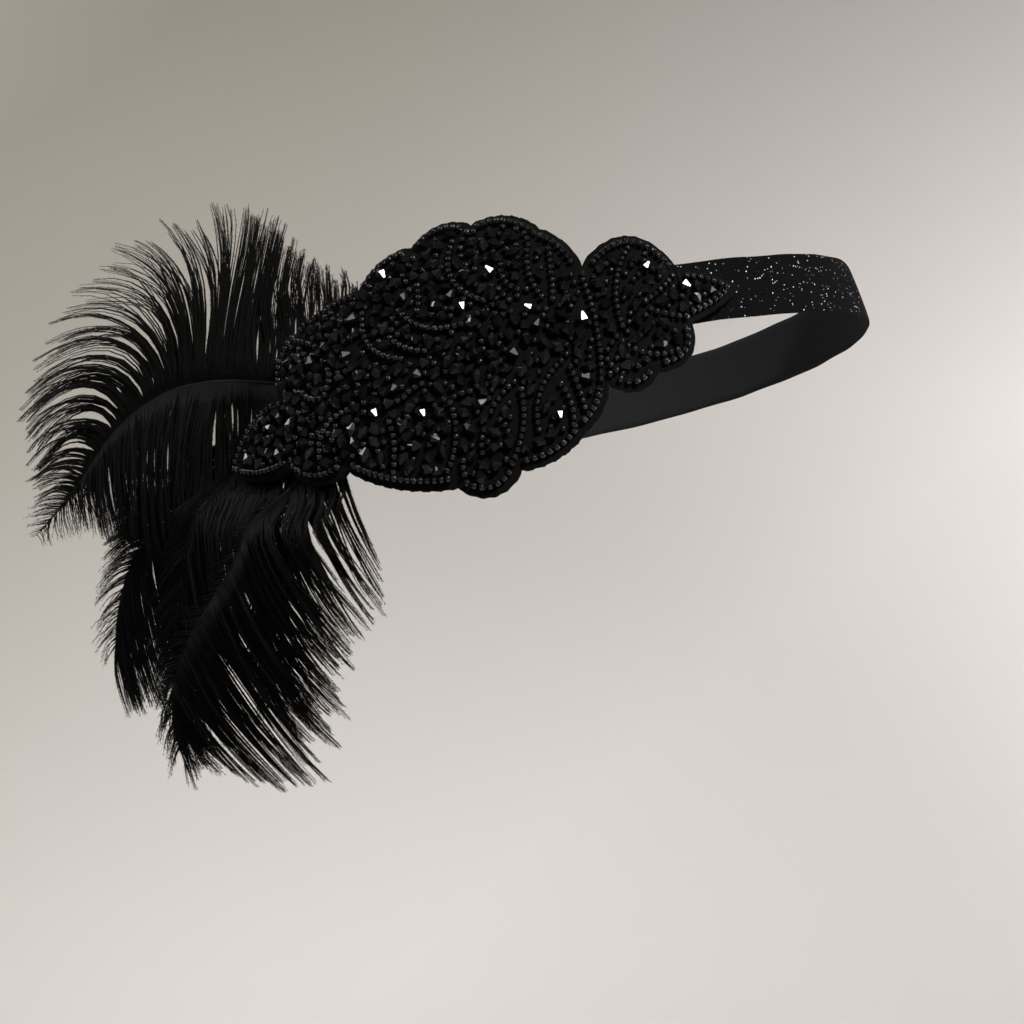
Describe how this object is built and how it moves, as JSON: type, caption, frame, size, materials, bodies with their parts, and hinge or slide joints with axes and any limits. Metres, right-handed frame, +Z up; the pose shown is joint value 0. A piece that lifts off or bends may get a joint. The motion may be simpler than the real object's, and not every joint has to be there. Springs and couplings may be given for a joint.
{
  "type": "flapper feather headband",
  "caption": "Black elastic headband as worn, with a scalloped felt patch covered in beads and crystals on one side, and ostrich plumes that fall from behind it.",
  "frame": {"origin": "centre of the head opening, half way between the front and the back of the elastic's inner face", "axes": "+X the way the wearer looks, +Y the wearer's left, +Z up; the patch is on the wearer's right, at -Y"},
  "size_m": [0.28, 0.1693, 0.196],
  "materials": {
    "elastic": "ribbed stretch elastic with fine metallic glints",
    "felt": "matt felt",
    "beads": "opaque glossy seed beads and cut crystals",
    "feather": "soft ostrich barbs"
  },
  "bodies": {
    "root": {"elastic_band": "elastic", "felt_backing": "felt", "beadwork": "beads", "plume_upper": "feather", "plume_back": "feather", "plume_middle": "feather", "plume_long": "feather", "plume_inner": "feather"}
  },
  "joints": []
}
